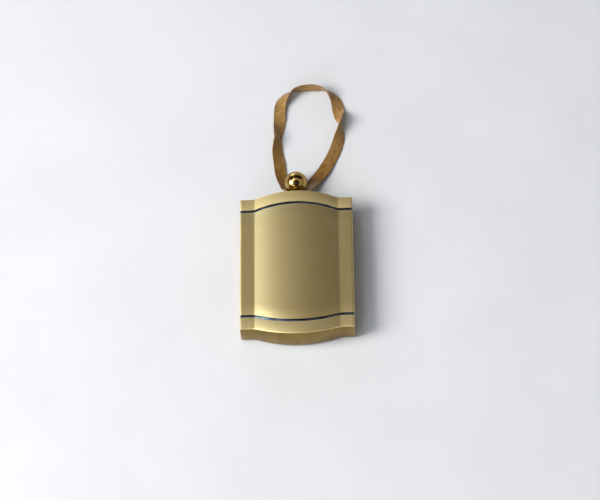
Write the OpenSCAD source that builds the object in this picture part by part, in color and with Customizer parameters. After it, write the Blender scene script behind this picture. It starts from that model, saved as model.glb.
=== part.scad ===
// Small gilt paperweight block with a ball finial and a satin hanging ribbon.
// It lies on its back: the base is at z = 0, the face looks up along +Z,
// and the finial and ribbon leave the end that faces +Y.
// The origin is the centre of the base.

/* [Block] */
// Width of the block
block_w = 36; // [32:0.5:42]
// Length of the block along its straight side edges
block_l = 47; // [40:0.5:60]
// Height from the base to the flat margins of the face
block_h = 8; // [7.5:0.1:10]
// How far each end bows outward at its middle
end_bow = 2.4; // [1:0.1:3]
// Width of the flat margin along each side of the face
margin_w = 4.6; // [4:0.1:6]
// Rise of the crowned middle of the face above the margins
crown_rise = 1.1; // [0.5:0.1:1.6]
// Radius of the hollow fillet between a straight margin and a bowed end
end_fillet = 8; // [6:0.5:10]

/* [Cut lines] */
// Distance from a bowed end to the middle of its cut line
groove_inset = 4.5; // [3.5:0.1:6]
// Width of a cut line
groove_w = 0.9; // [0.6:0.1:1.2]
// Depth of a cut line below the face
groove_d = 0.6; // [0.3:0.1:0.9]

/* [Back and inside] */
// Thickness of the shell's walls
wall = 2.4; // [2.2:0.1:2.8]
// Thickness of the face at its margins
face_t = 1.5; // [1.2:0.1:1.8]
// Thickness of the felt under the block
felt_t = 0.6; // [0.4:0.1:1]
// Thickness of the back plate
back_t = 1.2; // [1.1:0.1:1.4]
// Outer radius of the back screws' threads
screw_r = 1; // [0.8:0.05:1.1]

/* [Finial] */
// Radius of the ball
ball_r = 3.8; // [3.5:0.05:3.9]
// Height of the finial's axis above the base
finial_z = 4.4; // [4.3:0.05:4.6]
// Length of the neck between the bush and the ball
neck_l = 1.55; // [1.5:0.05:2.5]
// Radius of the neck
neck_r = 0.95; // [0.8:0.05:1.1]
// Radius of the stud inside the block and the ball
stud_r = 1; // [0.9:0.05:1.1]
// Radial running clearance of the stud in its bush
running_gap = 0.05; // [0.03:0.01:0.08]

/* [Ribbon] */
// Width of the ribbon
ribbon_w = 3.8; // [3:0.1:4]
// Thickness of the ribbon's plain solid
ribbon_t = 0.5; // [0.4:0.05:0.6]

/* [Hidden] */
$fn = 96;

GILT = "darkkhaki";
POLISHED_GILT = "gold";
STEEL = "silver";
FELT = "darkgreen";
RIBBON = "peru";

half_w = block_w / 2;
half_l = block_l / 2;
crown_half = half_w - margin_w;                 // half the chord of the crown and of each bowed end
bow_r = (pow(crown_half, 2) + pow(end_bow, 2)) / (2 * end_bow);
bow_y = half_l + end_bow - bow_r;               // centre of the arc at the +Y end
crown_r = (pow(crown_half, 2) + pow(crown_rise, 2)) / (2 * crown_rise);
crown_z = block_h + crown_rise - crown_r;       // axis of the crowned surface
fillet_x = sqrt(pow(bow_r + end_fillet, 2) - pow(half_l + end_fillet - bow_y, 2));
top_z = block_h + crown_rise + 1;               // safely above the face
eps = 0.01;

rebate = 1.2;                                   // inset of the step that takes the back plate
plate_gap = 0.05;
floor_z = felt_t + back_t;                      // inner face of the back plate
ceiling_z = block_h - face_t;                   // inner face of the shell
slug_gap = 0.15;
felt_inset = 1.6;

post_r = 2.2;
post_x = half_w - 5.5;
post_y = half_l - 5.5;
post_depth = ceiling_z - 0.4;                   // bottom of the blind screw holes
screw_tip = post_depth - 0.4;
head_r = 1.9;
head_h = 0.9;
recess_w = 0.4;
recess_l = 2.2;
recess_d = 0.6;

end_y = half_l + end_bow;                       // crest of the +Y end
seat_y = end_y - 0.2;                           // spot face under the bush's flange
inner_y = end_y - wall;                         // inner face of the end wall
bush_r = 1.8;
flange_r = 2.2;
flange_t = 0.4;
neck_y = seat_y + flange_t + 0.1;               // shoulder of the neck, just clear of the flange
shoulder_r = 1.6;
shoulder_t = 0.25;
ball_y = neck_y + neck_l + sqrt(pow(ball_r, 2) - pow(neck_r, 2));
thread_in_ball = 2.2;
clip_gap = 0.15;
clip_t = 0.5;
clip_r = 1.9;
clip_seat_r = stud_r - 0.3;
clip_y = inner_y - clip_gap - clip_t;
stud_tail = 1.5;                                // stud left beyond the clip
notch_w = 5.2;

hitch_gap = 0.12;
turn_r = 0.42;                                  // radius of the gathered ribbon in its turn
hitch_y = neck_y + shoulder_t + 0.08 + turn_r;

// Ribbon route: x, distance from the hitch along +Y, height of the middle, and lean of the width
// from level in degrees. Heights below the leaning ribbon's own reach are raised until it rests.
ribbon_route = [
    [-1.9,  0.0, finial_z,        -65],
    [-2.6,  0.9, finial_z - 0.9,  -60],
    [-3.1,  2.8, 1.8,             -45],
    [-3.9,  5.6, 1.3,             -30],
    [-4.9,  9.1, 0.6,             -20],
    [-5.5, 13.9, 0.6,             -15],
    [-6.1, 18.9, 0.6,             -30],
    [-6.0, 23.5, 0.6,             -55],
    [-5.7, 27.7, 0.6,             -30],
    [-5.4, 31.6, 0.6,               0],
    [-5.3, 34.9, 0.6,               5],
    [-4.7, 37.9, 0.6,              20],
    [-3.0, 40.3, 0.6,              45],
    [-0.6, 42.0, 0.6,              72],
    [ 2.4, 42.6, 0.6,              88],
    [ 6.3, 42.6, 0.6,              88],
    [ 9.3, 42.0, 0.6,              72],
    [11.7, 40.3, 0.6,              45],
    [13.4, 37.9, 0.6,              20],
    [14.0, 34.9, 0.6,               5],
    [14.5, 32.0, 0.6,             -30],
    [15.0, 28.6, 0.6,             -90],
    [14.4, 24.1, 0.6,            -140],
    [12.9, 19.1, 0.6,            -165],
    [10.7, 14.3, 0.6,            -175],
    [ 8.4, 10.3, 1.0,            -180],
    [ 6.1,  7.0, 1.5,            -190],
    [ 4.5,  4.2, 1.8,            -212],
    [ 3.1,  1.7, finial_z - 1.5, -235],
    [ 1.9,  0.0, finial_z,       -245]];
route_steps = 3;                                // rings for each stretch of the route

function smooth(a, b, c, d, t) =
    0.5 * (2 * b + (c - a) * t + (2 * a - 5 * b + 4 * c - d) * t * t
           + (3 * b - 3 * c + d - a) * t * t * t);
function route_at(i, t) = let(n = len(ribbon_route) - 1)
    smooth(ribbon_route[max(i - 1, 0)], ribbon_route[i],
           ribbon_route[min(i + 1, n)], ribbon_route[min(i + 2, n)], t);
ribbon_path = [for (i = [0 : len(ribbon_route) - 2], s = [0 : route_steps - 1])
                   route_at(i, s / route_steps),
               ribbon_route[len(ribbon_route) - 1]];
function rest_height(p) = max(p[2], ribbon_w / 2 * abs(sin(p[3])) + ribbon_t / 2 + 0.1);
function middle(p) = [p[0], hitch_y + p[1], rest_height(p)];
function heading(i) = let(n = len(ribbon_path) - 1,
                          v = middle(ribbon_path[min(i + 1, n)]) - middle(ribbon_path[max(i - 1, 0)]))
    v / norm(v);
// Corners of the flat section, with its edges eased, in units along the width and the thickness.
section = [for (side = [1, -1], c = [[0.5, -0.2], [0.5, 0.2], [0.44, 0.5], [-0.44, 0.5]])
               [side * c[0] * ribbon_w, side * c[1] * ribbon_t]];
function ring(i) = let(p = ribbon_path[i], t = heading(i), s0 = cross(t, [0, 0, 1]),
                       s = s0 / norm(s0), n = cross(s, t),
                       wide = cos(p[3]) * s + sin(p[3]) * n, thick = cos(p[3]) * n - sin(p[3]) * s)
    [for (c = section) middle(p) + c[0] * wide + c[1] * thick];

module along_y(y, h, r, r2 = undef) {
    translate([0, y, finial_z])
        rotate([-90, 0, 0])
            cylinder(h = h, r1 = r, r2 = is_undef(r2) ? r : r2);
}

// Half of the block's plan, from its middle to the bowed end, drawn in by inset.
module half_plan(inset) {
    reach = (bow_r - inset) / (bow_r + end_fillet);     // from the bow's centre to the fillet's
    blend_x = fillet_x * reach;
    blend_y = bow_y + (half_l + end_fillet - bow_y) * reach;
    translate([inset - half_w, 0])
        square([block_w - 2 * inset, half_l - inset]);
    intersection() {
        translate([0, bow_y])
            circle(r = bow_r - inset);
        translate([-blend_x, 0])
            square([2 * blend_x, half_l + end_bow]);
    }
    for (side = [-1, 1])
        scale([side, 1])
            difference() {
                polygon([[0, half_l - inset - 1], [fillet_x, half_l - inset - 1],
                         [fillet_x, half_l - inset], [blend_x, blend_y]]);
                translate([fillet_x, half_l + end_fillet])
                    circle(r = end_fillet + inset);
            }
}

module plan(inset = 0) {
    half_plan(inset);
    mirror([0, 1])
        half_plan(inset);
}

module slab(inset, z1, z2) {
    translate([0, 0, z1])
        linear_extrude(z2 - z1)
            plan(inset);
}

// Everything below the face when the face is lowered by drop.
module under_face(drop = 0) {
    translate([-block_w, -block_l, -1])
        cube([2 * block_w, 2 * block_l, block_h - drop + 1]);
    translate([0, block_l, crown_z - drop])
        rotate([90, 0, 0])
            cylinder(h = 2 * block_l, r = crown_r, $fn = 360);
}

module groove() {
    difference() {
        translate([0, 0, block_h - groove_d - 1])
            linear_extrude(top_z - block_h + groove_d + 1)
                difference() {
                    translate([0, groove_w / 2 - groove_inset])
                        half_plan(0);
                    translate([0, -groove_w / 2 - groove_inset])
                        half_plan(0);
                    translate([-block_w, -block_l])
                        square([2 * block_w, block_l + half_l / 2]);
                }
        under_face(groove_d);
    }
}

module at_posts() {
    for (x = [-post_x, post_x], y = [-post_y, post_y])
        translate([x, y, 0])
            children();
}

module front_shell() {
    color(GILT) {
        difference() {
            intersection() {
                slab(0, felt_t, top_z);
                under_face();
            }
            slab(rebate, felt_t - eps, floor_z);
            slab(wall, floor_z - eps, ceiling_z);
            groove();
            mirror([0, 1, 0])
                groove();
            along_y(inner_y - 1, wall + 2, bush_r);
            along_y(seat_y, 2, flange_r + 0.1);
        }
        at_posts()
            difference() {
                translate([0, 0, floor_z])
                    cylinder(h = ceiling_z - floor_z + eps, r = post_r);
                translate([0, 0, floor_z - eps])
                    cylinder(h = post_depth - floor_z, r = screw_r);
            }
    }
}

module back_plate() {
    color(POLISHED_GILT)
        difference() {
            slab(rebate + plate_gap, felt_t, floor_z);
            at_posts() {
                translate([0, 0, felt_t - eps])
                    cylinder(h = back_t + 2 * eps, r = screw_r + 0.1);
                translate([0, 0, felt_t])
                    cylinder(h = head_h, r1 = head_r, r2 = screw_r);
            }
        }
}

module back_screws() {
    color(STEEL)
        at_posts()
            difference() {
                union() {
                    translate([0, 0, felt_t])
                        cylinder(h = head_h, r1 = head_r, r2 = screw_r);
                    translate([0, 0, felt_t + head_h / 2])
                        cylinder(h = screw_tip - felt_t - head_h / 2, r = screw_r);
                }
                for (turn = [0, 90])
                    rotate(turn)
                        translate([-recess_l / 2, -recess_w / 2, felt_t - eps])
                            cube([recess_l, recess_w, recess_d]);
            }
}

module weight_slug() {
    color(STEEL)
        difference() {
            slab(wall + slug_gap, floor_z, ceiling_z);
            at_posts()
                cylinder(h = block_h, r = post_r + slug_gap);
            for (x = [-1, 1], y = [-1, 1])
                translate([x * (post_x + post_r), y * (post_y + post_r), block_h / 2])
                    cube([2 * post_r, 2 * post_r, block_h], center = true);
            translate([-notch_w / 2, clip_y - stud_tail - 1, 0])
                cube([notch_w, wall + stud_tail + 2, block_h]);
        }
}

module felt_pad() {
    color(FELT)
        slab(felt_inset, 0, felt_t);
}

module finial_bush() {
    color(POLISHED_GILT)
        difference() {
            union() {
                along_y(inner_y, seat_y - inner_y + eps, bush_r);
                along_y(seat_y, flange_t * 0.6, flange_r);
                along_y(seat_y + flange_t * 0.6, flange_t * 0.4, flange_r, flange_r - 0.3);
            }
            along_y(inner_y - 1, wall + 3, stud_r + running_gap);
        }
}

module finial_stud() {
    tail_y = clip_y - stud_tail;
    color(POLISHED_GILT)
        difference() {
            union() {
                along_y(tail_y, neck_y - tail_y + eps, stud_r);
                along_y(neck_y, shoulder_t, shoulder_r);
                along_y(neck_y, neck_l, neck_r);
                along_y(neck_y + neck_l - eps, thread_in_ball, stud_r);
            }
            difference() {
                along_y(clip_y, clip_t, stud_r + 1);
                along_y(clip_y - 1, clip_t + 2, clip_seat_r);
            }
        }
}

module finial_clip() {
    color(STEEL)
        difference() {
            along_y(clip_y, clip_t, clip_r);
            along_y(clip_y - 1, clip_t + 2, clip_seat_r);
            translate([-clip_seat_r * 0.8, clip_y - 1, finial_z])
                cube([clip_seat_r * 1.6, clip_t + 2, clip_r + 1]);
        }
}

module finial_ball() {
    color(POLISHED_GILT)
        difference() {
            translate([0, ball_y, finial_z])
                rotate([90, 0, 0])
                    sphere(r = ball_r);
            along_y(ball_y - ball_r - 1, neck_y + neck_l - ball_y + ball_r + 1, ball_r);
            along_y(ball_y - ball_r - 1, neck_y + neck_l - ball_y + ball_r + 1 + thread_in_ball, stud_r);
        }
}

module ribbon_hitch() {
    color(RIBBON)
        translate([0, hitch_y, finial_z])
            rotate([-90, 0, 0])
                rotate_extrude()
                    translate([neck_r + hitch_gap + turn_r, 0])
                        circle(r = turn_r);
}

module ribbon_loop() {
    rings = len(ribbon_path);
    sides = len(section);
    wall_faces = [for (i = [0 : rings - 2], k = [0 : sides - 1])
        let(a = i * sides + k, b = i * sides + (k + 1) % sides)
            each [[a, b, b + sides], [a, b + sides, a + sides]]];
    end_faces = [[for (k = [sides - 1 : -1 : 0]) k],
                 [for (k = [0 : sides - 1]) (rings - 1) * sides + k]];
    color(RIBBON)
        polyhedron(points = [for (i = [0 : rings - 1]) each ring(i)],
                   faces = concat(wall_faces, end_faces));
}

front_shell();
back_plate();
back_screws();
weight_slug();
felt_pad();
finial_bush();
finial_stud();
finial_clip();
finial_ball();
ribbon_hitch();
ribbon_loop();
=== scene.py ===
"""Looks of the small gilt paperweight: block, ball finial, satin ribbon, pale floor and soft light."""

import math

import bmesh
import bpy
import numpy as np
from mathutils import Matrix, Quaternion, Vector


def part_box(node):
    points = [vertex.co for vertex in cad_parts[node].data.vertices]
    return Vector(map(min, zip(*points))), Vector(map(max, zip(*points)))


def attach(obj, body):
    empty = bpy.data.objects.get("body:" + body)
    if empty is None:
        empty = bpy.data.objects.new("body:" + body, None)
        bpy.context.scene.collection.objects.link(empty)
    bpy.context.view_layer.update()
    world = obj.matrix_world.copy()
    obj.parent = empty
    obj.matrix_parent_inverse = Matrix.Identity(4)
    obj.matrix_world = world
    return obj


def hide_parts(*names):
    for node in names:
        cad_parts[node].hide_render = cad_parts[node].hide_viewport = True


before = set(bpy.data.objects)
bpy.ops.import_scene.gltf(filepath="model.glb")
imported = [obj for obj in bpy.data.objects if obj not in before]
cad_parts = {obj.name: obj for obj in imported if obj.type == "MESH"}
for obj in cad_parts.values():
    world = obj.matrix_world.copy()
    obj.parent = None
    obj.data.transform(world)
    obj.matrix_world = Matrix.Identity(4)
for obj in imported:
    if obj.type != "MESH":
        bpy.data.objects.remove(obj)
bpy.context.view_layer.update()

MM = 0.001

# ---------------------------------------------------------------- sizes, in millimetres, from the frame
shell_lo, shell_hi = (Vector(c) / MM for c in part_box("front_shell"))
felt_hi = Vector(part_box("felt_pad")[1]) / MM
ball_lo, ball_hi = (Vector(c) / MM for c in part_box("finial_ball"))
bush_lo, bush_hi = (Vector(c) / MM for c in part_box("finial_bush"))
hitch_lo, hitch_hi = (Vector(c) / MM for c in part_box("ribbon_hitch"))
plate_hi = Vector(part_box("back_plate")[1]) / MM

HALF_W = shell_hi.x                     # half the block's width
END_Y = shell_hi.y                      # crest of the bowed end
TOP_Z = shell_hi.z                      # crest of the crowned face
BASE_Z = shell_lo.z                     # underside of the shell
END_BOW = 2.4                           # how far each end bows out
HALF_L = END_Y - END_BOW                # half the length of the side edges
MARGIN = 4.6                            # flat margin beside the crown
CROWN = 1.1                             # rise of the crown
FACE_Z = TOP_Z - CROWN                  # height of the flat margins
FILLET = 8.0                            # hollow fillet between margin and bowed end
GROOVE_INSET = 4.5                      # bowed end to the middle of its cut line
GROOVE_W = 0.9
GROOVE_D = 0.6
WALL = 2.4
FACE_T = 1.5                            # thickness of the face over the cavity
PLATE_GAP = 0.05                        # all round the back plate
POST_INSET = 5.5                        # screw posts, in from the sides and the side edges' ends
POST_R = 2.2
SEAT_D = 0.2                            # sinking of the bush's flange
FELT_INSET = HALF_W - felt_hi.x
AXIS_Z = (ball_lo.z + ball_hi.z) / 2    # the finial's axis
BALL_R = (ball_hi.z - ball_lo.z) / 2
BALL_Y = ball_hi.y - BALL_R
NECK_R = 0.95
STUD_R = 1.0
RUNNING_GAP = 0.05                      # round the stud in its bush
BUSH_R = 1.8
HITCH_Y = (hitch_lo.y + hitch_hi.y) / 2

CHORD = HALF_W - MARGIN                 # half the chord of the crown and of each bowed end
BOW_R = (CHORD ** 2 + END_BOW ** 2) / (2 * END_BOW)
BOW_Y = END_Y - BOW_R
CROWN_R = (CHORD ** 2 + CROWN ** 2) / (2 * CROWN)
FILLET_Y = HALF_L + FILLET
FILLET_X = math.sqrt((BOW_R + FILLET) ** 2 - (FILLET_Y - BOW_Y) ** 2)


# ---------------------------------------------------------------- camera
def make_camera():
    elevation, heading, roll = math.radians(60.1), math.radians(-3.4), math.radians(-4.6)
    distance, aim = 0.7975, Vector((1.0, 6.4, 4.4)) * MM
    look = Vector((math.sin(heading) * math.cos(elevation), math.cos(heading) * math.cos(elevation),
                   -math.sin(elevation)))
    data = bpy.data.cameras.new("camera")
    data.sensor_width = 36
    data.lens = 150
    data.clip_start, data.clip_end = 0.01, 10
    camera = bpy.data.objects.new("camera", data)
    camera.rotation_mode = "QUATERNION"
    camera.rotation_quaternion = look.to_track_quat("-Z", "Y") @ Quaternion((0, 0, 1), roll)
    camera.location = aim - look * distance
    bpy.context.collection.objects.link(camera)
    bpy.context.scene.camera = camera


make_camera()
bpy.context.scene.view_settings.view_transform = "Standard"


# ---------------------------------------------------------------- node helpers
class Nodes:
    """A small wrapper that adds nodes to a material or world and links their sockets by name."""

    def __init__(self, owner):
        owner.use_nodes = True
        self.tree = owner.node_tree
        self.tree.nodes.clear()

    def add(self, kind, inputs=None, **settings):
        n = self.tree.nodes.new(kind)
        for k, v in settings.items():
            setattr(n, k, v)
        for k, v in (inputs or {}).items():
            self.put(n.inputs[k], v)
        return n

    def put(self, socket, value):
        if isinstance(value, bpy.types.NodeSocket):
            self.tree.links.new(value, socket)
        else:
            socket.default_value = value

    def coords(self, scale, kind="Object"):
        at = self.add("ShaderNodeTexCoord").outputs[kind]
        return self.add("ShaderNodeMapping", {"Vector": at, "Scale": scale}).outputs["Vector"]

    def noise(self, vector, scale=1.0, detail=3.0, rough=0.55, distortion=0.0):
        n = self.add("ShaderNodeTexNoise", {"Vector": vector, "Scale": scale, "Detail": detail,
                                            "Roughness": rough, "Distortion": distortion})
        return n.outputs["Fac"]

    def ramp(self, value, low, high, out_low, out_high):
        n = self.add("ShaderNodeMapRange", {"Value": value, "From Min": low, "From Max": high,
                                            "To Min": out_low, "To Max": out_high})
        return n.outputs["Result"]

    def mix(self, fac, a, b):
        n = self.add("ShaderNodeMix", data_type="RGBA")
        for name, value in (("Factor_Float", fac), ("A_Color", a), ("B_Color", b)):
            self.put(next(s for s in n.inputs if s.identifier == name), value)
        return next(s for s in n.outputs if s.identifier == "Result_Color")

    def math(self, operation, a, b=0.0):
        n = self.add("ShaderNodeMath", operation=operation)
        self.put(n.inputs[0], a)
        self.put(n.inputs[1], b)
        return n.outputs[0]

    def bump(self, height, distance, strength=1.0, normal=None):
        n = self.add("ShaderNodeBump", {"Height": height, "Distance": distance, "Strength": strength})
        if normal is not None:
            self.put(n.inputs["Normal"], normal)
        return n.outputs["Normal"]

    def surface(self, **inputs):
        shader = self.add("ShaderNodeBsdfPrincipled")
        for k, v in inputs.items():
            self.put(shader.inputs[k.replace("_", " ")], v)
        out = self.add("ShaderNodeOutputMaterial")
        self.tree.links.new(shader.outputs[0], out.inputs["Surface"])
        return shader


def rgb(r, g, b):
    return (r, g, b, 1.0)


GILT_PALE = rgb(0.84, 0.69, 0.37)
GILT_DEEP = rgb(0.72, 0.52, 0.18)


def edge_wear(n, colour, worn, amount):
    """Mixes a colour into the convex edges, where handling has rubbed them."""
    point = n.add("ShaderNodeNewGeometry").outputs["Pointiness"]
    patch = n.noise(n.coords((700, 700, 700)), 1.0, 3.0, 0.6)
    edge = n.math("MULTIPLY", n.ramp(point, 0.52, 0.62, 0.0, amount), n.ramp(patch, 0.35, 0.6, 0.4, 1.0))
    return n.mix(edge, colour, worn)


def brushed_gilt(name, spread, rough, contrast):
    """Gilt metal brushed along X on the crown and along Y on the margins, in very fine even streaks."""
    m = bpy.data.materials.new(name)
    n = Nodes(m)
    fine = n.noise(n.coords((60, 9000, 0)), 1.0, 3.0, 0.6)
    long = n.noise(n.coords((14, 3300, 0)), 1.0, 2.0, 0.5)
    upright = n.noise(n.coords((2600, 10, 0)), 1.0, 2.0, 0.5)
    cloud = n.noise(n.coords((130, 130, 130)), 1.0, 2.0, 0.5)
    lines = n.math("ADD", n.math("MULTIPLY", fine, 0.5), n.math("MULTIPLY", long, 0.5))
    place = n.add("ShaderNodeSeparateXYZ", {"Vector": n.coords((1, 1, 1))}).outputs["X"]
    margin = n.ramp(n.math("ABSOLUTE", place), CHORD * MM - 0.0001, CHORD * MM + 0.0001, 0.0, 0.6)
    lines = n.math("ADD", n.math("MULTIPLY", lines, n.math("SUBTRACT", 1.0, margin)),
                   n.math("MULTIPLY", upright, margin))
    shade = n.ramp(lines, 0.36, 0.64, 0.5 - contrast, 0.5 + contrast)
    colour = n.mix(shade, GILT_DEEP, GILT_PALE)
    colour = n.mix(n.ramp(cloud, 0.35, 0.7, 0.0, 0.12), colour, GILT_DEEP)
    colour = edge_wear(n, colour, GILT_PALE, 0.7)
    along = n.add("ShaderNodeTangent", direction_type="UV_MAP", uv_map="grain").outputs[0]
    n.surface(Base_Color=colour, Metallic=1.0,
              Roughness=n.ramp(lines, 0.3, 0.7, rough - 0.02, rough + 0.03),
              Anisotropic=spread, Tangent=along, Normal=n.bump(lines, 0.0000015, 0.3))
    return m


def polished_gilt(name, tint, deep, rough, mottle=0.6, patches=120):
    """Mirror-polished gilt with faint polishing swirls and soft wear. Its soft patches of the deep colour
    are a painted mottled reflection where it is used on the sides.
    """
    m = bpy.data.materials.new(name)
    n = Nodes(m)
    swirl = n.noise(n.coords((900, 900, 2400)), 1.0, 3.0, 0.6, 0.8)
    cloud = n.noise(n.coords((patches, patches, patches)), 1.0, 3.0, 0.5)
    colour = n.mix(n.ramp(cloud, 0.38, 0.62, 0.0, mottle), tint, deep)
    colour = edge_wear(n, colour, GILT_PALE, 0.8)
    n.surface(Base_Color=colour, Metallic=1.0,
              Roughness=n.ramp(swirl, 0.3, 0.75, rough, rough * 1.6 + 0.005),
              Normal=n.bump(swirl, 0.000002, 0.25))
    return m


def blued_groove(name, low, high, rough):
    """Dark blued metal, the same all along the cut lines, with fine pits."""
    m = bpy.data.materials.new(name)
    n = Nodes(m)
    grain = n.noise(n.coords((150, 2000, 2000)), 1.0, 2.0, 0.5)
    pits = n.noise(n.coords((5000, 5000, 5000)), 1.0, 2.0, 0.5)
    colour = n.mix(n.ramp(grain, 0.38, 0.66, 0.0, 1.0), low, high)
    n.surface(Base_Color=colour, Metallic=1.0, Roughness=n.ramp(grain, 0.3, 0.7, rough, rough + 0.12),
              Normal=n.bump(pits, 0.000004, 0.3))
    return m


def satin_ribbon(name, total):
    """Woven satin: lengthwise floats, fine crosswise ribs, firm edges and a soft sheen. Near the hitch
    it is painted darker and deeper in colour, a painted shade; total is the ribbon's length in metres."""
    m = bpy.data.materials.new(name)
    n = Nodes(m)
    at = n.add("ShaderNodeSeparateXYZ", {"Vector": n.coords((1, 1, 1), "UV")})
    floats = n.noise(n.coords((3300, 430, 0), "UV"), 1.0, 4.0, 0.65)
    ribs = n.noise(n.coords((1100, 5200, 0), "UV"), 1.0, 2.0, 0.5)
    cloud = n.noise(n.coords((260, 260, 260)), 1.0, 3.0, 0.6)
    weave = n.math("ADD", n.math("MULTIPLY", floats, 0.7), n.math("MULTIPLY", ribs, 0.3))
    selvedge = n.ramp(n.math("ABSOLUTE", at.outputs["X"]), 0.00145, 0.00165, 0.0, 0.6)
    near = n.math("MINIMUM", at.outputs["Y"], n.math("SUBTRACT", total, at.outputs["Y"]))
    # painted shade: darker, deeper colour within 28 mm of either end of the loop and all over the hitch
    painted_shade_near_hitch = n.ramp(near, 0.002, 0.028, 0.95, 0.0)
    colour = n.mix(n.ramp(weave, 0.36, 0.64, 0.0, 1.0), rgb(0.088, 0.041, 0.009), rgb(0.39, 0.232, 0.084))
    colour = n.mix(n.ramp(cloud, 0.35, 0.7, 0.0, 0.15), colour, rgb(0.28, 0.16, 0.055))
    colour = n.mix(selvedge, colour, rgb(0.22, 0.105, 0.026))
    colour = n.mix(painted_shade_near_hitch, colour, n.mix(n.ramp(weave, 0.36, 0.64, 0.0, 1.0), rgb(0.060, 0.023, 0.003),
                                           rgb(0.25, 0.114, 0.015)))
    tangent = n.add("ShaderNodeTangent", direction_type="UV_MAP", uv_map="weave").outputs[0]
    n.surface(Base_Color=colour, Metallic=0.0, Roughness=n.ramp(weave, 0.3, 0.7, 0.26, 0.40),
              Specular_IOR_Level=0.45, Specular_Tint=rgb(1.0, 0.68, 0.32), Anisotropic=0.6, Tangent=tangent,
              Sheen_Weight=0.06, Sheen_Roughness=0.35, Sheen_Tint=rgb(0.95, 0.68, 0.38),
              Normal=n.bump(weave, 0.00005, 0.6))
    return m


def felt(name):
    """Dark blue felt with a short nap."""
    m = bpy.data.materials.new(name)
    n = Nodes(m)
    fibre = n.noise(n.coords((5000, 5000, 5000)), 1.0, 4.0, 0.7, 1.5)
    nap = n.noise(n.coords((900, 900, 900)), 1.0, 3.0, 0.6)
    colour = n.mix(n.ramp(fibre, 0.3, 0.7, 0.0, 1.0), rgb(0.010, 0.014, 0.035), rgb(0.045, 0.055, 0.10))
    n.surface(Base_Color=colour, Roughness=n.ramp(nap, 0.3, 0.7, 0.85, 1.0), Sheen_Weight=0.5,
              Sheen_Roughness=0.5, Normal=n.bump(fibre, 0.00008, 0.8))
    return m


def plated_steel(name, tint, rough):
    """Plain grey metal with a fine mottled grain."""
    m = bpy.data.materials.new(name)
    n = Nodes(m)
    grain = n.noise(n.coords((1500, 1500, 1500)), 1.0, 4.0, 0.65)
    colour = n.mix(n.ramp(grain, 0.3, 0.7, 0.0, 1.0), tint, rgb(*(0.8 * c for c in tint[:3])))
    n.surface(Base_Color=colour, Metallic=1.0, Roughness=n.ramp(grain, 0.3, 0.7, rough, rough + 0.15),
              Normal=n.bump(grain, 0.00002, 0.4))
    return m


MAT_FACE = brushed_gilt("brushed_face", 0.85, 0.32, 0.30)
MAT_BAND = brushed_gilt("brushed_band", 0.55, 0.40, 0.24)
# painted shade: sides, ends, bush, stud and back plate get a far darker gilt than the face, standing in for
# the shaded floor they reflect; its darker patches are painted reflection
MAT_SIDE_PAINTED_SHADE = polished_gilt("polished_side_painted_shade", rgb(0.25, 0.165, 0.034), rgb(0.15, 0.092, 0.014), 0.10, 0.45, 200)
# painted shade: the ball's gilt is painted much darker than the face's, standing in for the dark surroundings
# it reflects
MAT_BALL_PAINTED_SHADE = polished_gilt("polished_ball_painted_shade", rgb(0.48, 0.315, 0.105), rgb(0.34, 0.205, 0.055), 0.02)
MAT_LINE = blued_groove("blued_groove", rgb(0.06, 0.08, 0.10), rgb(0.24, 0.31, 0.38), 0.12)
MAT_FELT = felt("felt")
MAT_STEEL = plated_steel("zinc_plate", rgb(0.60, 0.60, 0.62), 0.25)
MAT_CAST = plated_steel("cast_metal", rgb(0.30, 0.30, 0.31), 0.5)


# ---------------------------------------------------------------- mesh helpers
def new_object(name, points_mm, faces, materials, sharp_deg=32.0):
    mesh = bpy.data.meshes.new(name)
    mesh.from_pydata([tuple(c * MM for c in p) for p in points_mm], [], faces)
    for m in materials:
        mesh.materials.append(m)
    mesh.validate()
    for p in mesh.polygons:
        p.use_smooth = True
    mesh.set_sharp_from_angle(angle=math.radians(sharp_deg))
    o = bpy.data.objects.new(name, mesh)
    bpy.context.collection.objects.link(o)
    return o


def outward(o):
    """Turns every face of a closed mesh to the outside."""
    bm = bmesh.new()
    bm.from_mesh(o.data)
    bmesh.ops.remove_doubles(bm, verts=bm.verts, dist=1e-7)
    bmesh.ops.recalc_face_normals(bm, faces=bm.faces)
    bm.to_mesh(o.data)
    bm.free()


def finish_piece(o, body, slot, *nodes):
    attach(o, body)
    if nodes:
        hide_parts(*nodes)


def arc(cx, cy, r, deg0, deg1, steps):
    """Points on an arc from deg0 to deg1, both ends included."""
    return [(cx + r * math.cos(math.radians(deg0 + (deg1 - deg0) * i / steps)),
             cy + r * math.sin(math.radians(deg0 + (deg1 - deg0) * i / steps))) for i in range(steps + 1)]


def cut(target, tool):
    """Takes the tool's solid out of the target, for good."""
    m = target.modifiers.new("cut", "BOOLEAN")
    m.operation, m.solver, m.object = "DIFFERENCE", "EXACT", tool
    evaluated = target.evaluated_get(bpy.context.evaluated_depsgraph_get())
    mesh = bpy.data.meshes.new_from_object(evaluated)
    target.modifiers.clear()
    old, target.data = target.data, mesh
    bpy.data.meshes.remove(old)
    bpy.data.objects.remove(tool)


# ---------------------------------------------------------------- the block
def end_line(x, inset=0.0):
    """Distance of the bowed end from the block's middle at x, drawn in by inset."""
    x = abs(x)
    reach = (BOW_R - inset) / (BOW_R + FILLET)
    if x <= FILLET_X * reach:
        return BOW_Y + math.sqrt((BOW_R - inset) ** 2 - x ** 2)
    if x < FILLET_X:
        return FILLET_Y - math.sqrt((FILLET + inset) ** 2 - (FILLET_X - x) ** 2)
    return HALF_L - inset


CREASE_SOFTNESS = 0.025                 # height over which the crown melts into a margin


def face_height(x):
    rise = math.sqrt(CROWN_R ** 2 - x ** 2) - (CROWN_R - CROWN)
    return FACE_Z + (rise + math.hypot(rise, CREASE_SOFTNESS)) / 2


EDGE_R = 0.28                           # rounding of the face's ends and of the sides
RIM_R = 0.06                            # rounding of a cut line's rims


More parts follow.
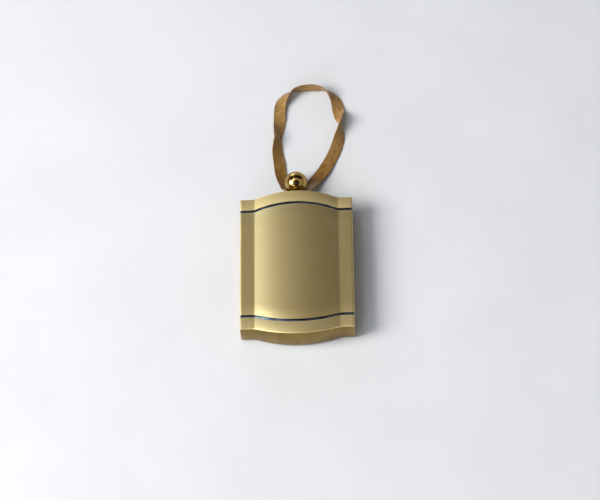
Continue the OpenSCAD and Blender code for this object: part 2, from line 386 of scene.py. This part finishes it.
def half_profile(x, sunk):
    """(y, z, zone) from the middle of the face over one end to the middle of the underside."""
    end, top, base = end_line(x) - sunk, face_height(x) - sunk, BASE_Z + sunk
    mid, half, deep = end_line(x) - GROOVE_INSET, GROOVE_W / 2 + sunk, GROOVE_D
    out = [(0.0, top, "face"), (mid - half - 4.0, top, "face")]
    out += [(y, z, "face") for y, z in arc(mid - half - RIM_R, top - RIM_R, RIM_R, 90, 0, 3)]
    for i in range(1, 16):
        a = math.pi * i / 16
        out.append((mid - half * math.cos(a), top - RIM_R - (deep - RIM_R) * math.sin(a), "line"))
    out += [(y, z, "band") for y, z in arc(mid + half + RIM_R, top - RIM_R, RIM_R, 180, 90, 3)]
    r = EDGE_R - sunk * 0.8
    out += [(y, z, "band") for y, z in arc(end - r, top - r, r, 90, 0, 6)]
    out += [(y, z, "side") for y, z in arc(end - r, base + r, r, 0, -90, 4)]
    out += [(0.0, base, "side")]
    return out


def shell_columns():
    """(x, sunk) across the block: rounded side edges, margins, creases and crown, closest together
    where the ends bend from margin to bow."""
    edge = [(HALF_W - EDGE_R + EDGE_R * math.cos(a), EDGE_R - EDGE_R * math.sin(a))
            for a in np.linspace(0, math.pi / 2, 6)]
    inner = list(np.arange(HALF_W - 0.9, FILLET_X + 0.3, -0.8)) + list(np.linspace(FILLET_X, CHORD - 1.3, 18))
    inner += list(np.linspace(CHORD - 1.8, 0.5, 22))
    right = edge + [(float(x), 0.0) for x in inner]
    return [(-x, s) for x, s in right] + [(0.0, 0.0)] + [(x, s) for x, s in reversed(right)]


def prism(name, inset, z1, z2):
    """A closed slab of the block's plan, drawn in by inset."""
    xs = np.linspace(-(HALF_W - inset), HALF_W - inset, 90)
    ring = [(x, end_line(x, inset)) for x in xs] + [(x, -end_line(x, inset)) for x in xs[::-1]]
    count = len(ring)
    points = [(x, y, z) for z in (z1, z2) for x, y in ring]
    faces = [list(range(count)), list(range(2 * count - 1, count - 1, -1))]
    faces += [[i, i + count, (i + 1) % count + count, (i + 1) % count] for i in range(count)]
    return new_object(name, points, faces, [])


def rod(name, centre, along, r, length, sides=48):
    """A closed round bar from centre along an axis, for cutting holes."""
    turn = Vector(along).to_track_quat("Z", "Y").to_matrix()
    rings = [[Vector(centre) + turn @ Vector((x, y, z)) for x, y in arc(0, 0, r, 0, 360, sides)[:-1]]
             for z in (0, length)]
    points = [tuple(p) for ring in rings for p in ring]
    faces = [list(range(sides))[::-1], list(range(sides, 2 * sides))]
    faces += [[i, (i + 1) % sides, (i + 1) % sides + sides, i + sides] for i in range(sides)]
    return new_object(name, points, faces, [])


GRAIN_SCALE = 20                        # UV units to a metre; only its direction is used


def build_shell():
    """The block's skin, swept across in columns, then cut for the plate, the cavity and the finial."""
    columns = shell_columns()
    zones = {"face": 0, "band": 1, "line": 2, "side": 3}
    points, faces, kinds = [], [], []
    for x, sunk in columns:
        half = half_profile(x, sunk)
        back = [(-y, z, k) for y, z, k in reversed(half[1:-1])]
        loop = half + back
        points += [(x, y, z) for y, z, k in loop]
    count = len(loop)
    names = [k for y, z, k in loop]
    for c in range(len(columns) - 1):
        for i in range(count):
            j = (i + 1) % count
            faces.append([c * count + i, c * count + j, (c + 1) * count + j, (c + 1) * count + i])
            pair = {names[i], names[j]}
            kind = next(k for k in ("line", "side", "band", "face") if k in pair)
            kinds.append(kind)
    faces += [list(range(count - 1, -1, -1)), [(len(columns) - 1) * count + i for i in range(count)]]
    kinds += ["side", "side"]
    o = new_object("front_shell_skin", points, faces, [MAT_FACE, MAT_BAND, MAT_LINE, MAT_SIDE_PAINTED_SHADE])
    for p, kind in zip(o.data.polygons, kinds):
        p.material_index = zones[kind]
    outward(o)
    cut(o, prism("cut_rebate", HALF_W - plate_hi.x - PLATE_GAP, BASE_Z - 0.5, plate_hi.z))
    cavity = prism("cut_cavity", WALL, plate_hi.z - 0.2, FACE_Z - FACE_T)
    for x in (-1, 1):
        for y in (-1, 1):
            at = (x * (HALF_W - POST_INSET), y * (HALF_L - POST_INSET), 0)
            cut(cavity, rod("cut_post", at, (0, 0, 1), POST_R, 9))
    cut(o, cavity)
    cut(o, rod("cut_bore", (0, END_Y - WALL - 1, AXIS_Z), (0, 1, 0), BUSH_R, WALL + 3))
    cut(o, rod("cut_seat", (0, END_Y - SEAT_D, AXIS_Z), (0, 1, 0), bush_hi.x + 0.1, 2))
    grain = o.data.uv_layers.new(name="grain")
    for loop in o.data.loops:
        at = o.data.vertices[loop.vertex_index].co
        grain.data[loop.index].uv = (at.y * GRAIN_SCALE, at.x * GRAIN_SCALE)
    for p in o.data.polygons:
        p.use_smooth = True
    o.data.set_sharp_from_angle(angle=math.radians(32))
    finish_piece(o, "block", "brushed_gilt", "front_shell")


# ---------------------------------------------------------------- turned pieces
def lathe(name, profile, material, body, slot, node, steps=96):
    """A closed turned piece about the finial's axis from (radius, y) points."""
    points = [(r * math.sin(2 * math.pi * k / steps), y, AXIS_Z + r * math.cos(2 * math.pi * k / steps))
              for k in range(steps) for r, y in profile]
    count = len(profile)
    closed = min(profile[0][0], profile[-1][0]) > 1e-6
    spans = count if closed else count - 1
    faces = [[k * count + i, k * count + (i + 1) % count, (k + 1) % steps * count + (i + 1) % count,
              (k + 1) % steps * count + i] for k in range(steps) for i in range(spans)]
    o = new_object(name, points, faces, [material], 40)
    outward(o)
    for p in o.data.polygons:
        p.use_smooth = True
    o.data.set_sharp_from_angle(angle=math.radians(40))
    finish_piece(o, body, slot, node)
    return o


def build_finial():
    """The ball, with the bore that the stud fills, and the flanged bush."""
    seat = BALL_Y - math.sqrt(BALL_R ** 2 - NECK_R ** 2)
    lead = math.degrees(math.asin(NECK_R / BALL_R))
    ball = [(r, y) for y, r in arc(BALL_Y, 0, BALL_R, 180 - lead - 3, 0, 64)]
    ball[-1] = (0.0, BALL_Y + BALL_R)
    thread = [(0.0, seat + 2.2), (STUD_R, seat + 2.2), (STUD_R, seat - 0.02), (NECK_R + 0.1, seat - 0.02)]
    lathe("finial_ball_skin", thread + ball, MAT_BALL_PAINTED_SHADE, "finial", "polished_gilt", "finial_ball", 128)
    flange, out = bush_hi.y, bush_hi.x
    bore = STUD_R + RUNNING_GAP
    bush = [(bore, bush_lo.y), (BUSH_R, bush_lo.y), (BUSH_R, END_Y - SEAT_D), (out, END_Y - SEAT_D)]
    bush += [(r, y) for r, y in arc(out - 0.16, flange - 0.16, 0.16, 0, 90, 5)]
    bush += [(bore + 0.08, flange), (bore, flange - 0.08)]
    lathe("finial_bush_skin", bush, MAT_SIDE_PAINTED_SHADE, "block", "polished_gilt", "finial_bush")


# ---------------------------------------------------------------- ribbon
# x, distance from the hitch along +Y, height of the middle (all in metres) and lean of the width in degrees
AXIS = AXIS_Z * MM
RIBBON_ROUTE = [
    (-0.0016, 0.0000, AXIS, -65),
    (-0.0026, 0.0009, AXIS - 0.0009, -60),
    (-0.0031, 0.0028, 0.0018, -45),
    (-0.0039, 0.0056, 0.0013, -30),
    (-0.0049, 0.0091, 0.0006, -20),
    (-0.0055, 0.0139, 0.0006, -15),
    (-0.0061, 0.0189, 0.0006, -30),
    (-0.0060, 0.0235, 0.0006, -55),
    (-0.0057, 0.0277, 0.0006, -30),
    (-0.0054, 0.0316, 0.0006, 0),
    (-0.0053, 0.0349, 0.0006, 5),
    (-0.0047, 0.0379, 0.0006, 20),
    (-0.0030, 0.0403, 0.0006, 45),
    (-0.0006, 0.0420, 0.0006, 72),
    (0.0024, 0.0426, 0.0006, 88),
    (0.0063, 0.0426, 0.0006, 88),
    (0.0093, 0.0420, 0.0006, 72),
    (0.0117, 0.0403, 0.0006, 45),
    (0.0134, 0.0379, 0.0006, 20),
    (0.0140, 0.0349, 0.0006, 5),
    (0.0145, 0.0320, 0.0006, -30),
    (0.0150, 0.0286, 0.0006, -90),
    (0.0144, 0.0241, 0.0006, -140),
    (0.0129, 0.0191, 0.0006, -165),
    (0.0107, 0.0143, 0.0006, -175),
    (0.0084, 0.0103, 0.0010, -180),
    (0.0061, 0.0070, 0.0015, -190),
    (0.0045, 0.0042, 0.0018, -212),
    (0.0031, 0.0017, AXIS - 0.0015, -235),
    (0.0016, 0.0000, AXIS, -245)]
RIBBON_W = 0.0038
RIBBON_T = 0.00022
RINGS_PER_STRETCH = 10
GATHER_LENGTH = 0.0045                  # how far from the hitch the band is still curled up
GATHER_CURL = 4.6                       # its curl at the hitch, in radians


def ribbon_frames():
    """Centres, width directions, thickness directions and running lengths along the smoothed route."""
    route = np.array(RIBBON_ROUTE, float)
    route[:, 1] += HITCH_Y * MM
    last = len(route) - 1
    rows = []
    for i in range(last):
        a, b, c, d = (route[j] for j in (max(i - 1, 0), i, i + 1, min(i + 2, last)))
        for s in range(RINGS_PER_STRETCH):
            t = s / RINGS_PER_STRETCH
            rows.append(0.5 * (2 * b + (c - a) * t + (2 * a - 5 * b + 4 * c - d) * t * t
                               + (3 * b - 3 * c + d - a) * t ** 3))
    rows.append(route[last])
    rows = np.array(rows)
    lean = np.radians(rows[:, 3])
    centre = rows[:, :3].copy()
    centre[:, 2] = np.maximum(centre[:, 2], RIBBON_W / 2 * np.abs(np.sin(lean)) + 0.00022)
    for _ in range(6):
        centre[1:-1, 2] = 0.5 * centre[1:-1, 2] + 0.25 * (centre[:-2, 2] + centre[2:, 2])
    step = np.gradient(centre, axis=0)
    step /= np.linalg.norm(step, axis=1)[:, None]
    side = np.cross(step, [0, 0, 1.0])
    side /= np.linalg.norm(side, axis=1)[:, None]
    up = np.cross(side, step)
    wide = np.cos(lean)[:, None] * side + np.sin(lean)[:, None] * up
    thick = np.cos(lean)[:, None] * up - np.sin(lean)[:, None] * side
    run = np.concatenate([[0], np.cumsum(np.linalg.norm(np.diff(centre, axis=0), axis=1))])
    return centre, wide, thick, run


def ribbon_section(cup, across=18):
    """Closed section of the band curled through cup radians, with firm edges: (across, out, place in
    the width), in units of its width."""
    top, bottom = [], []
    for i in range(across + 1):
        u = i / across - 0.5
        angle = u * cup
        x, z = (math.sin(angle) / cup, (1 - math.cos(angle)) / cup) if abs(cup) > 1e-3 else (u, 0.0)
        edge = 1.35 if abs(u) > 0.44 else 1.0
        half = RIBBON_T / RIBBON_W / 2 * edge
        n = (-math.sin(angle), math.cos(angle))
        top.append((x + n[0] * half, z + n[1] * half, u))
        bottom.append((x - n[0] * half, z - n[1] * half, u))
    return top + bottom[::-1]


def build_ribbon():
    """The free loop, laid along its route; gives the object and its middle line."""
    centre, wide, thick, run = ribbon_frames()
    total = run[-1]
    rng = np.random.default_rng(7)
    phase = rng.uniform(0, 2 * math.pi, 4)
    points, faces, uvs = [], [], []
    for c, w, t, s in zip(centre, wide, thick, run):
        near = min(s, total - s)
        gather = max(0.0, 1 - near / GATHER_LENGTH)
        cup = 0.18 + 0.12 * math.sin(s * 420 + phase[0]) + GATHER_CURL * gather ** 1.3
        ripple = 0.00005 * math.sin(s * 900 + phase[1]) + 0.00003 * math.sin(s * 2100 + phase[2])
        section = ribbon_section(cup)
        count = len(section)
        lift = sum(z for x, z, u in section) / count
        for x, z, u in section:
            p = c + w * x * RIBBON_W + t * ((z - lift) * RIBBON_W + ripple * (2 * abs(u)))
            points.append((p[0] / MM, p[1] / MM, max(p[2], 0.00004) / MM))
            uvs.append((u * RIBBON_W, s))
    for i in range(len(centre) - 1):
        for k in range(count):
            j = (k + 1) % count
            faces.append([i * count + k, i * count + j, (i + 1) * count + j, (i + 1) * count + k])
    faces += [list(range(count - 1, -1, -1)), [(len(centre) - 1) * count + k for k in range(count)]]
    o = new_object("ribbon_loop_skin", points, faces, [MAT_RIBBON], 70)
    weave = o.data.uv_layers.new(name="weave")
    for loop in o.data.loops:
        weave.data[loop.index].uv = uvs[loop.vertex_index]
    finish_piece(o, "block", "satin_ribbon", "ribbon_loop")
    return o, centre


def build_hitch():
    """The bunched ribbon: one pleated turn round the neck, from which both strands leave."""
    rings, sides = 144, 36
    inner, outer = NECK_R + 0.12, hitch_hi.x
    half_t, half_w = (outer - inner) / 2, (hitch_hi.y - hitch_lo.y) / 2
    points, faces, uvs = [], [], []
    for i in range(rings):
        angle = 2 * math.pi * i / rings
        radial = Vector((math.cos(angle), 0, math.sin(angle)))
        for k in range(sides):
            a = 2 * math.pi * k / sides
            pleat = 1 - 0.09 * (0.5 + 0.5 * math.cos(9 * a + 1.3 * math.sin(3 * angle)))
            across = half_w * math.copysign(abs(math.sin(a)) ** 0.8, math.sin(a)) * pleat
            r = inner + half_t + half_t * math.copysign(abs(math.cos(a)) ** 0.8, math.cos(a)) * pleat
            points.append((radial.x * r, HITCH_Y + across, AXIS_Z + radial.z * r))
            uvs.append(((k / sides - 0.5) * RIBBON_W * 0.7, i / rings * 0.002))
    for i in range(rings):
        a, b = i * sides, (i + 1) % rings * sides
        for k in range(sides):
            j = (k + 1) % sides
            faces.append([a + k, a + j, b + j, b + k])
    o = new_object("ribbon_hitch_skin", points, faces, [MAT_RIBBON], 80)
    outward(o)
    weave = o.data.uv_layers.new(name="weave")
    for loop in o.data.loops:
        weave.data[loop.index].uv = uvs[loop.vertex_index]
    finish_piece(o, "block", "satin_ribbon", "ribbon_hitch")
    return o


MAT_RIBBON = satin_ribbon("satin", float(ribbon_frames()[3][-1]))
ribbon, ribbon_line = build_ribbon()
hitch = build_hitch()

build_shell()
build_finial()


# ---------------------------------------------------------------- felt and the pieces kept from the CAD
def build_felt():
    """A thin pad of the block's plan, with its lower edge rounded."""
    xs = np.linspace(-1, 1, 70)
    half = HALF_W - FELT_INSET
    layers = [(0.0, 0.16), (0.05, 0.05), (0.16, 0.0), (felt_hi.z, 0.0)]
    points, faces = [], []
    for z, draw in layers:
        inset = FELT_INSET + draw
        ring = [(x * (half - draw), end_line(x * (half - draw), inset)) for x in xs]
        ring += [(x, -y) for x, y in reversed(ring)]
        points += [(x, y, z) for x, y in ring]
    count = len(points) // len(layers)
    for level in range(len(layers) - 1):
        for i in range(count):
            j = (i + 1) % count
            a, b = level * count, (level + 1) * count
            faces.append([a + i, a + j, b + j, b + i])
    faces += [list(range(count - 1, -1, -1)), [(len(layers) - 1) * count + i for i in range(count)]]
    o = new_object("felt_pad_skin", points, faces, [MAT_FELT], 50)
    outward(o)
    finish_piece(o, "block", "felt", "felt_pad")


build_felt()

for node, material in (("back_plate", MAT_SIDE_PAINTED_SHADE), ("back_screws", MAT_STEEL), ("weight_slug", MAT_CAST),
                       ("finial_stud", MAT_SIDE_PAINTED_SHADE), ("finial_clip", MAT_STEEL)):
    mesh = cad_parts[node].data
    mesh.materials.clear()
    mesh.materials.append(material)


# ---------------------------------------------------------------- floor and light
def build_floor():
    size = 3.0
    mesh = bpy.data.meshes.new("floor")
    corners = [(-size, -size, 0), (size, -size, 0), (size, size, 0), (-size, size, 0)]
    mesh.from_pydata(corners, [], [[0, 1, 2, 3]])
    m = bpy.data.materials.new("floor")
    n = Nodes(m)
    grain = n.noise(n.coords((30, 30, 30)), 1.0, 3.0, 0.5)
    colour = n.mix(n.ramp(grain, 0.3, 0.7, 0.0, 1.0), rgb(0.53, 0.53, 0.53), rgb(0.56, 0.56, 0.56))
    n.surface(Base_Color=colour, Roughness=0.8)
    mesh.materials.append(m)
    floor = bpy.data.objects.new("floor", mesh)
    bpy.context.collection.objects.link(floor)


def area_light(name, location, target, size, power, colour=(1, 1, 1)):
    data = bpy.data.lights.new(name, "AREA")
    data.shape = "RECTANGLE"
    data.size, data.size_y = size
    data.energy = power
    data.color = colour
    o = bpy.data.objects.new(name, data)
    o.location = location
    o.rotation_mode = "QUATERNION"
    o.rotation_quaternion = (Vector(target) - Vector(location)).to_track_quat("-Z", "Y")
    bpy.context.collection.objects.link(o)


def colour_stops(n, value, stops):
    """A colour ramp over value from (position, grey, tint) stops."""
    node = n.add("ShaderNodeValToRGB", {"Fac": value})
    node.color_ramp.interpolation = "LINEAR"
    while len(node.color_ramp.elements) < len(stops):
        node.color_ramp.elements.new(0.5)
    for element, (at, grey, tint) in zip(node.color_ramp.elements, stops):
        element.position = at
        element.color = rgb(*(grey * c for c in tint))
    return node.outputs["Color"]


CARD_SIDE = (0.03, -0.50, 0.866)        # from the block to the middle of the dark card


def build_world():
    """Soft studio surround: a bright window side on the left that fades to the right, a dark panel
    on the far side, a pale surround far out to either side, and a dark card overhead on the near
    side, where the photographer would stand."""
    world = bpy.data.worlds.new("studio")
    bpy.context.scene.world = world
    n = Nodes(world)
    at = n.add("ShaderNodeSeparateXYZ", {"Vector": n.add("ShaderNodeTexCoord").outputs["Generated"]})
    cool, plain, warm = (0.78, 0.87, 1.0), (1.0, 1.0, 1.0), (1.0, 0.97, 0.92)
    across = colour_stops(n, n.ramp(at.outputs["X"], -1.0, 1.0, 0.0, 1.0), [
        (0.0, 0.05, warm), (0.10, 0.06, warm), (0.20, 0.12, plain), (0.28, 0.60, cool), (0.32, 1.0, cool),
        (0.35, 0.95, cool), (0.375, 0.50, cool), (0.395, 0.35, plain), (0.44, 0.265, plain),
        (0.475, 0.235, plain), (0.50, 0.205, plain), (0.53, 0.17, warm), (0.56, 0.14, warm),
        (0.63, 0.115, warm), (0.75, 0.11, warm), (0.88, 0.06, warm), (1.0, 0.06, warm)])
    round_x = n.math("ARCTAN2", at.outputs["Z"], at.outputs["Y"])
    panel = colour_stops(n, n.ramp(round_x, 0.0, math.pi, 0.0, 1.0), [
        (0.0, 0.5, plain), (0.15, 0.5, plain), (0.19, 0.03, plain), (0.365, 0.03, plain), (0.46, 0.80, plain),
        (0.60, 1.0, plain), (0.85, 1.0, plain), (1.0, 0.8, plain)])
    beyond = n.ramp(n.math("ABSOLUTE", at.outputs["X"]), 0.70, 0.86, 0.0, 1.0)
    panel = n.mix(beyond, panel, rgb(0.9, 0.9, 0.9))
    around = n.add("ShaderNodeTexCoord").outputs["Generated"]
    card = n.add("ShaderNodeVectorMath", {0: around, 1: CARD_SIDE}, operation="DOT_PRODUCT").outputs["Value"]
    panel = n.mix(n.ramp(card, 0.78, 0.87, 0.0, 1.0), panel, rgb(0.05, 0.05, 0.06))
    both = n.add("ShaderNodeMix", data_type="RGBA", blend_type="MULTIPLY")
    for name, value in (("Factor_Float", 1.0), ("A_Color", across), ("B_Color", panel)):
        n.put(next(k for k in both.inputs if k.identifier == name), value)
    lit = next(k for k in both.outputs if k.identifier == "Result_Color")
    background = n.add("ShaderNodeBackground", {"Color": lit, "Strength": 8.5})
    out = n.add("ShaderNodeOutputWorld")
    n.tree.links.new(background.outputs[0], out.inputs["Surface"])


build_floor()
build_world()
area_light("window", (-0.67, -0.16, 0.55), (0, 0, 0), (0.46, 0.46), 12.0)
area_light("lens_glint", (0.03, -0.45, 0.78), (0, 0, 0), (0.07, 0.07), 0.02, (0.20, 0.48, 1.0))
